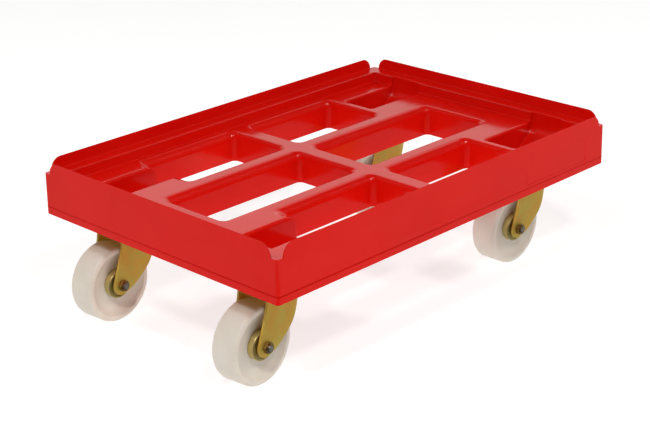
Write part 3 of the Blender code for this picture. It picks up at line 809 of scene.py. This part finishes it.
# %% Hub caps
def hub_cap(side):
    low, high = DISH + 0.0003, 0.0190
    profile = [(0.0063, low), (0.0180, low), (0.0185, low + 0.0005), (0.0185, high - 0.0016)]
    profile += arc(0.0169, high - 0.0016, 0.0016, 0, 90, 6)[1:]
    profile += [(0.0162, high), (0.0156, high - 0.0003), (0.0152, high - 0.0010), (0.0149, high - 0.0019),
                (0.0142, high - 0.0022), (0.0100, high - 0.0022), (0.0094, high - 0.0020),
                (0.0088, high - 0.0012), (0.0080, high - 0.0008), (0.0066, high - 0.0008),
                (0.0063, high - 0.0011)]
    return ring_lathe([(r, side * a) for r, a in profile], 96, "Y")


for hand, side in (("left", 1), ("right", -1)):
    at_corners(lambda: hub_cap(side), f"hub_cap_pressing_{hand}", "_roll", "axle", [f"hub_cap_{hand}"],
               cap_finish, 40.0)

# %% [markdown]
# Nuts and bolt heads share one shape: a hexagon whose corners are turned off at thirty degrees.
# The hexagon is cut with a lathed double cone, which leaves the familiar curved chamfers.

# %% Axle bolt and nut
HEX_AF = 0.013


def hexagon(low, high, axis, af=HEX_AF, both=False):
    corner = af / 2 / math.cos(math.pi / 6)
    outline = [(corner * math.cos(math.pi / 3 * k), corner * math.sin(math.pi / 3 * k)) for k in range(6)]
    flat = af / 2 - 0.0002
    rise = (corner + 0.0003 - flat) * math.tan(math.radians(30))
    wide = corner + 0.0003
    start = [(flat, low), (wide, low + rise)] if both else [(wide, low), (wide, low + 0.00001)]
    cone = [(0, low), *start, (wide, high - rise), (flat, high), (0, high)]
    blank = prism(outline, low - 0.0005, high + 0.0005, axis)
    body = combine(blank, solid_lathe(cone, 72, axis), "INTERSECT")
    bmesh.ops.remove_doubles(body, verts=body.verts, dist=0.000005)
    return body


def thread_profile(start, end, radius, pitch=0.00125, depth=0.00045):
    """Ridges for a length of thread, from start to end along the axis."""
    points, place, crest = [], start, False
    step = pitch / 2 if end > start else -pitch / 2
    while abs(place - start) < abs(end - start):
        points.append((radius - (0.0 if crest else depth), place))
        place, crest = place + step, not crest
    return points


def axle_bolt():
    face, tip = 0.0238, -0.0310
    shank = [(0, tip), (0.0034, tip), (0.0038, tip + 0.0004)]
    shank += thread_profile(tip + 0.0006, -0.0225, 0.0040)
    shank += [(0.0040, -0.0220), (0.0040, face + 0.001), (0, face + 0.001)]
    head = combine(solid_lathe(shank, 32, "Y"), hexagon(face + 0.0003, face + 0.0053, "Y"), "UNION")
    return combine(head, column(0.0061, face, face + 0.0004, 48, "Y"), "UNION")


def axle_nut():
    """Self-locking: a hexagon with a round collar that holds its nylon ring."""
    face = -0.0238
    nut = moved(hexagon(0.0, 0.0052, "Y", HEX_AF, both=True), Matrix.Rotation(math.radians(12), 4, "Y"))
    nut = shifted(nut, 0.0, face - 0.0052, 0.0)
    collar = [(0.0, face - 0.0050), (0.0056, face - 0.0050), (0.0056, face - 0.0058), (0.0054, face - 0.0062),
              (0.0049, face - 0.0065), (0.0, face - 0.0065)]
    nut = combine(nut, solid_lathe(collar, 48, "Y"), "UNION")
    return combine(nut, column(BORE_R, face - 0.010, face + 0.002, 32, "Y"), "DIFFERENCE")


at_corners(axle_bolt, "axle_bolt_threaded", "_swivel", "axle", ["axle_bolt"], zinc, 30.0)
at_corners(axle_nut, "axle_lock_nut", "_swivel", "axle", ["axle_nut"], nut_finish, 30.0)

# %% [markdown]
# The plate is a pressing too. Its middle is drawn down into the upper race of the ball bearing,
# and the corners carry the four bolt holes. The king pin is riveted through it.

# %% Top plate and king pin
def top_plate():
    top, bottom = -0.0003, -0.0033
    plate = rounded_tool(centred(0.0525, 0.0425), 0.010, [(0.0, bottom), (0.0, top)], 10)
    race = [(0, -0.0078), (0.0285, -0.0078), (0.0294, -0.0076), (0.0299, -0.0070), (0.0300, -0.0062),
            (0.0304, -0.0046), (0.0314, -0.0037), (0.0330, -0.0032), (0.0330, -0.0020), (0, -0.0020)]
    plate = combine(plate, solid_lathe(race, 72), "UNION")
    holes = [column(KING_BORE_R, -0.012, 0.002, 40)]
    for ix in (-1, 1):
        for iy in (-1, 1):
            holes.append(shifted(column(BORE_R, -0.012, 0.002, 28), ix * BOLT_X, iy * BOLT_Y))
    return combine(plate, gather(holes), "DIFFERENCE")


def king_pin():
    crown_low = CROWN_Z - STEEL_T - 0.0003
    profile = [(0, -0.0008), (0.0090, -0.0008), (0.0100, -0.0018), (0.0100, crown_low), (0.0160, crown_low),
               (0.0168, crown_low - 0.0004), (0.0170, crown_low - 0.0012), (0.0170, crown_low - 0.0026)]
    profile += [(0.0164, crown_low - 0.0036), (0.0140, crown_low - 0.0047), (0.0105, crown_low - 0.0054),
                (0.0060, crown_low - 0.0057), (0, crown_low - 0.0057)]
    return solid_lathe(profile, 56)


at_corners(top_plate, "plate_pressing", "", "plate", ["top_plate"], gold, 35.0, edge=0.0004)
at_corners(king_pin, "king_pin_rivet", "", "plate", ["king_pin"], zinc, 35.0)

# %% [markdown]
# Sixteen plate bolts and the rollers of four bearings repeat the same few shapes, which is work
# for Geometry Nodes: one tree sets a piece at every point of a guide mesh, turns it by an
# attribute, realises the copies and gives them their finish.

# %% A tree that repeats a piece
def repeat_tree():
    tree = bpy.data.node_groups.new("piece_at_each_point", "GeometryNodeTree")
    sockets = tree.interface
    for name, kind in (("Guide", "Geometry"), ("Piece", "Object"), ("Size", "Float"), ("Most Turn", "Float"),
                       ("Seed", "Int"), ("Finish", "Material")):
        sockets.new_socket(name, in_out="INPUT", socket_type="NodeSocket" + kind)
    sockets.new_socket("Geometry", in_out="OUTPUT", socket_type="NodeSocketGeometry")
    way_in, way_out = tree.nodes.new("NodeGroupInput"), tree.nodes.new("NodeGroupOutput")
    source = tree.nodes.new("GeometryNodeObjectInfo")
    instance = tree.nodes.new("GeometryNodeInstanceOnPoints")
    turn = tree.nodes.new("FunctionNodeRandomValue")
    angles = tree.nodes.new("ShaderNodeCombineXYZ")
    aim = tree.nodes.new("GeometryNodeInputNamedAttribute")
    aim.data_type = "FLOAT_VECTOR"
    aim.inputs["Name"].default_value = "aim"
    total = tree.nodes.new("ShaderNodeVectorMath")
    scale = tree.nodes.new("ShaderNodeCombineXYZ")
    realise = tree.nodes.new("GeometryNodeRealizeInstances")
    paint = tree.nodes.new("GeometryNodeSetMaterial")
    link = tree.links.new
    link(way_in.outputs["Guide"], instance.inputs["Points"])
    link(way_in.outputs["Piece"], source.inputs["Object"])
    link(source.outputs["Geometry"], instance.inputs["Instance"])
    random_out = [socket for socket in turn.outputs if socket.type == "VALUE" and socket.enabled][0]
    link(way_in.outputs["Most Turn"], [s for s in turn.inputs if s.name == "Max" and s.enabled][0])
    link(way_in.outputs["Seed"], turn.inputs["Seed"])
    link(random_out, angles.inputs["Z"])
    link(aim.outputs["Attribute"], total.inputs[0])
    link(angles.outputs["Vector"], total.inputs[1])
    link(total.outputs["Vector"], instance.inputs["Rotation"])
    for side in "XYZ":
        link(way_in.outputs["Size"], scale.inputs[side])
    link(scale.outputs["Vector"], instance.inputs["Scale"])
    link(instance.outputs["Instances"], realise.inputs["Geometry"])
    link(realise.outputs["Geometry"], paint.inputs["Geometry"])
    link(way_in.outputs["Finish"], paint.inputs["Material"])
    link(paint.outputs["Geometry"], way_out.inputs["Geometry"])
    return tree


REPEAT = repeat_tree()
print("tree inputs:", [item.name for item in REPEAT.interface.items_tree if item.in_out == "INPUT"])


# %% [markdown]
# To use the tree, a guide mesh with one point per copy carries each copy's direction in an
# attribute. The modifier's inputs are set by identifier, the evaluated result becomes a plain
# mesh, and the modifier and the template go.

# %% Use of the tree
def repeat(name, piece_bm, places, look, most_turn=0.0, seed=7):
    """places are (point, aim) pairs; the result is a plain mesh with the copies in place."""
    template = to_object(name + "_template", piece_bm)
    smooth_by_angle(template, 35.0)
    guide_mesh = bpy.data.meshes.new(name)
    guide_mesh.from_pydata([point for point, _ in places], [], [])
    aim = guide_mesh.attributes.new("aim", "FLOAT_VECTOR", "POINT")
    for k, (_, direction) in enumerate(places):
        aim.data[k].vector = direction
    guide = bpy.data.objects.new(name, guide_mesh)
    bpy.context.scene.collection.objects.link(guide)
    step = guide.modifiers.new("repeat", "NODES")
    step.node_group = REPEAT
    values = {"Piece": template, "Size": 1.0, "Most Turn": most_turn, "Seed": seed, "Finish": look}
    for item in REPEAT.interface.items_tree:
        if item.in_out == "INPUT" and item.name in values:
            step[item.identifier] = values[item.name]
    graph = bpy.context.evaluated_depsgraph_get()
    mesh = bpy.data.meshes.new_from_object(guide.evaluated_get(graph), depsgraph=graph)
    guide.modifiers.clear()
    guide.data = mesh
    bpy.data.meshes.remove(guide_mesh)
    drop(template)
    return guide


# %% [markdown]
# A plate bolt is a hexagon head on a flange with a threaded shank. No two bolts on a real plate
# stop at the same angle, so the tree turns each one by a seeded random amount.

# %% Plate bolts
def plate_bolt():
    """Flanged head under the plate, shank up into the deck's boss."""
    seat = -0.0036
    shank = [(0, 0.0230), (0.0030, 0.0230)] + thread_profile(0.0224, 0.0030, 0.0040)
    shank += [(0.0040, 0.0020), (0.0040, seat - 0.0005), (0.0074, seat - 0.0001), (0.0078, seat - 0.0004),
              (0.0078, seat - 0.0010), (0.0066, seat - 0.0014), (0, seat - 0.0014)]
    head = moved(hexagon(0.0, 0.0032, "Z", 0.0125), Matrix.Rotation(math.pi, 4, "X"))
    return combine(solid_lathe(shank, 28), shifted(head, 0.0, 0.0, seat - 0.0010), "UNION")


bolt_places, bolt_nodes = [], []
for corner in CORNERS:
    centre = castors[corner]["plate"].translation
    for k, (ix, iy) in enumerate(SIDES, 1):
        bolt_places.append((tuple(centre + Vector((ix * BOLT_X, iy * BOLT_Y, 0.0))), (0.0, 0.0, 0.0)))
        bolt_nodes.append(f"{corner}_plate_bolt_{k}")
bolts = repeat("plate_bolts", plate_bolt(), bolt_places, zinc, math.pi / 3)
place_on(bolts, "dolly", bolt_nodes, zinc)

# %% [markdown]
# Inside each hub a cage of rollers runs on the axle sleeve. It only shows in an open joint between
# cap and sleeve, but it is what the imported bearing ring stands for.

# %% Bearing rollers and axle sleeves
ROLLERS, ROLLER_R, ROLLER_END, CAGE_MID = 11, 0.0023, 0.0088, 0.0091
for corner in CORNERS:
    hub = castors[corner]["axle"]
    places = []
    for k in range(ROLLERS):
        angle = 2 * math.pi * k / ROLLERS
        point = hub @ Vector((CAGE_MID * math.cos(angle), 0.0, CAGE_MID * math.sin(angle)))
        places.append((tuple(point), (0.0, 0.0, castors[corner]["yaw"])))
    half = [(ROLLER_R, ROLLER_END - 0.0004), (ROLLER_R - 0.0004, ROLLER_END), (0, ROLLER_END)]
    roller = solid_lathe([(r, -a) for r, a in reversed(half)] + half, 16, "Y")
    cage = repeat(f"{corner}_bearing_rollers", roller, places, zinc)
    place_on(cage, corner + "_roll", [f"{corner}_roller_bearing"], zinc)


def sleeve():
    half = 0.0202
    return ring_lathe([(BORE_R, -half), (0.0057, -half), (0.0060, -half + 0.0003), (0.0060, half - 0.0003),
                       (0.0057, half), (BORE_R, half)], 40, "Y")


at_corners(sleeve, "axle_sleeve_tube", "_swivel", "axle", ["axle_sleeve"], zinc, 35.0)

# %% [markdown]
# Under the deck, thin ribs tie the skirt to the grid. They are one shape at twelve places, so the
# same tree sets them: once along the two sides, once across the two ends.

# %% Stiffening ribs
def rib(length, roll):
    """A thin rib from the origin along +X; its inner top corner stays below the rolled lip."""
    top, foot, half = DECK_Z - 0.003, 0.006, 0.0014
    outline = [(0.0, foot), (length, foot), (length, top), (roll + 0.001, top), (0.0, top - roll)]
    return prism(outline, -half, half, "Y")


GAP, SIDE_PITCH, END_PITCH = 0.0005, 0.100, 0.052
side_length, end_length = HALF_W - SKIRT_T - ROW_A_OUT + GAP, HALF_L - SKIRT_T - ROW_B_END + GAP
side_places = [((DECK_X + x, side * (ROW_A_OUT + GAP), FOOT_Z), (0.0, 0.0, side * math.pi / 2))
               for x in (-SIDE_PITCH, 0.0, SIDE_PITCH) for side in (1, -1)]
end_places = [((DECK_X + side * (ROW_B_END + GAP), y, FOOT_Z), (0.0, 0.0, 0.0 if side > 0 else math.pi))
              for y in (-END_PITCH, 0.0, END_PITCH) for side in (1, -1)]
for name, length, roll, spots in (("side_ribs", side_length, SIDE_LIP, side_places),
                                  ("end_ribs", end_length, END_LIP, end_places)):
    ribs = repeat(name, rib(length, roll), spots, red)
    place_on(ribs, "dolly", ["deck"], red)

# %% [markdown]
# The camera stands about two metres off one rear corner and looks down on the dolly through a
# long lens. Its matrix is built from the eye point, the direction of view and a slight roll.

# %% Camera
EYE, VIEW, ROLL, LENS = (-1.3969, -1.3551, 0.8724), (0.6644, 0.6478, -0.3728), -1.0, 87.78


def look_matrix(eye, forward, roll):
    forward = forward.normalized()
    right = forward.cross(Vector((0, 0, 1))).normalized()
    up = right.cross(forward)
    c, s = math.cos(roll), math.sin(roll)
    right, up = right * c + up * s, up * c - right * s
    turn = Matrix((right, up, -forward)).transposed().to_4x4()
    return Matrix.Translation(eye) @ turn


camera = bpy.data.objects.new("camera", bpy.data.cameras.new("camera"))
camera.data.lens = LENS
camera.data.sensor_width = 36.0
camera.data.clip_end = 50.0
bpy.context.scene.collection.objects.link(camera)
camera.matrix_world = look_matrix(Vector(EYE), Vector(VIEW), math.radians(ROLL))
bpy.context.scene.camera = camera
print("camera", [round(value, 2) for value in camera.matrix_world.translation])

# %% [markdown]
# The floor is plain and pale. A little emission of its own keeps it near white round the dolly's
# soft shadow, and it is left out of mirror reflections so the metal stays calm.

# %% Floor
FLOOR_HALF = 6.0
floor = to_object("floor", rounded_tool(centred(FLOOR_HALF, FLOOR_HALF), 1.0, [(0.0, -0.02), (0.0, 0.0)], 6))
floor_paint, floor_tree, floor_shader = new_material("pale_floor")
floor_coords = add(floor_tree, "ShaderNodeTexCoord").outputs["Object"]
floor_tone = ranged(floor_tree, noise(floor_tree, floor_coords, 3.0, 2.0), 0.2, 0.8, 0.0, 1.0)
floor_tree.links.new(two_tone(floor_tree, floor_tone, (0.50, 0.50, 0.50), (0.52, 0.52, 0.52)),
                     floor_shader.inputs["Base Color"])
floor_shader.inputs["Roughness"].default_value = 0.9
floor_shader.inputs["Specular IOR Level"].default_value = 0.0
floor_shader.inputs["Emission Color"].default_value = (1.0, 1.0, 1.0, 1.0)
floor_shader.inputs["Emission Strength"].default_value = 0.72
floor.data.materials.append(floor_paint)
floor.visible_glossy = False
print("floor", 2 * FLOOR_HALF, "m across")

# %% [markdown]
# Two small soft boxes stand high on the camera's side and put glints on the rounded corners. Two
# wide weak ones further round fill the sides without a reflection of their own.

# %% Soft boxes
def soft_box(name, azimuth, elevation, size, power, mirrored=True):
    """A square light three metres away; one that is not mirrored only adds soft light."""
    lamp = bpy.data.lights.new(name, "AREA")
    lamp.shape, lamp.size, lamp.energy = "SQUARE", size, power
    holder = bpy.data.objects.new(name, lamp)
    bpy.context.scene.collection.objects.link(holder)
    a, e = math.radians(azimuth), math.radians(elevation)
    back = Vector((math.sin(a) * math.cos(e), -math.cos(a) * math.cos(e), math.sin(e)))
    holder.location = Vector((0.0, 0.0, 0.15)) + back * 3.0
    holder.rotation_mode = "QUATERNION"
    holder.rotation_quaternion = back.to_track_quat("Z", "Y")
    holder.visible_glossy = mirrored


soft_box("box_left", -66.0, 50.0, 0.32, 23.0)
soft_box("box_right", -27.0, 50.0, 0.32, 22.0)
soft_box("side_left", -137.0, 38.0, 1.2, 14.0, mirrored=False)
soft_box("side_right", 45.0, 38.0, 1.2, 18.0, mirrored=False)
print("soft boxes:", len(bpy.data.lights))

# %% [markdown]
# The surround is white to the camera. To reflections and soft light it is bright on one side and
# dim on the other, with a quick step between, which gives the deck its pale sheen and dark walls.

# %% Surround
world = bpy.data.worlds.new("studio")
bpy.context.scene.world = world
world.use_nodes = True
sky = world.node_tree
sky.nodes.clear()
direction = add(sky, "ShaderNodeTexCoord").outputs["Generated"]
behind = add(sky, "ShaderNodeVectorMath", operation="DOT_PRODUCT")
behind.inputs[1].default_value = (0.7071, 0.7071, 0.0)
sky.links.new(direction, behind.inputs[0])
split = add(sky, "ShaderNodeSeparateXYZ")
sky.links.new(direction, split.inputs["Vector"])
leaning = add(sky, "ShaderNodeMath", operation="SUBTRACT")
sky.links.new(behind.outputs["Value"], leaning.inputs[0])
sky.links.new(split.outputs["Z"], leaning.inputs[1])
backdrop = ranged(sky, leaning.outputs["Value"], -0.16, -0.10, 0.07, 0.85)
below = ranged(sky, behind.outputs["Value"], -0.7, 0.3, 0.03, 0.34)
above = ranged(sky, split.outputs["Z"], -0.04, 0.02, 0.0, 1.0)
lower = add(sky, "ShaderNodeMix", data_type="FLOAT")
sky.links.new(above, lower.inputs["Factor"])
sky.links.new(below, lower.inputs["A"])
sky.links.new(backdrop, lower.inputs["B"])
seen = add(sky, "ShaderNodeLightPath").outputs["Is Camera Ray"]
plain = add(sky, "ShaderNodeMix", data_type="FLOAT")
sky.links.new(seen, plain.inputs["Factor"])
sky.links.new(lower.outputs["Result"], plain.inputs["A"])
plain.inputs["B"].default_value = 1.0
glow = add(sky, "ShaderNodeBackground")
sky.links.new(two_tone(sky, seen, (1.0, 0.965, 0.92), (1.0, 1.0, 1.0)), glow.inputs["Color"])
sky.links.new(plain.outputs["Result"], glow.inputs["Strength"])
out = add(sky, "ShaderNodeOutputWorld")
sky.links.new(glow.outputs["Background"], out.inputs["Surface"])
bpy.context.scene.view_settings.view_transform = "Standard"
print("surround nodes:", len(sky.nodes))
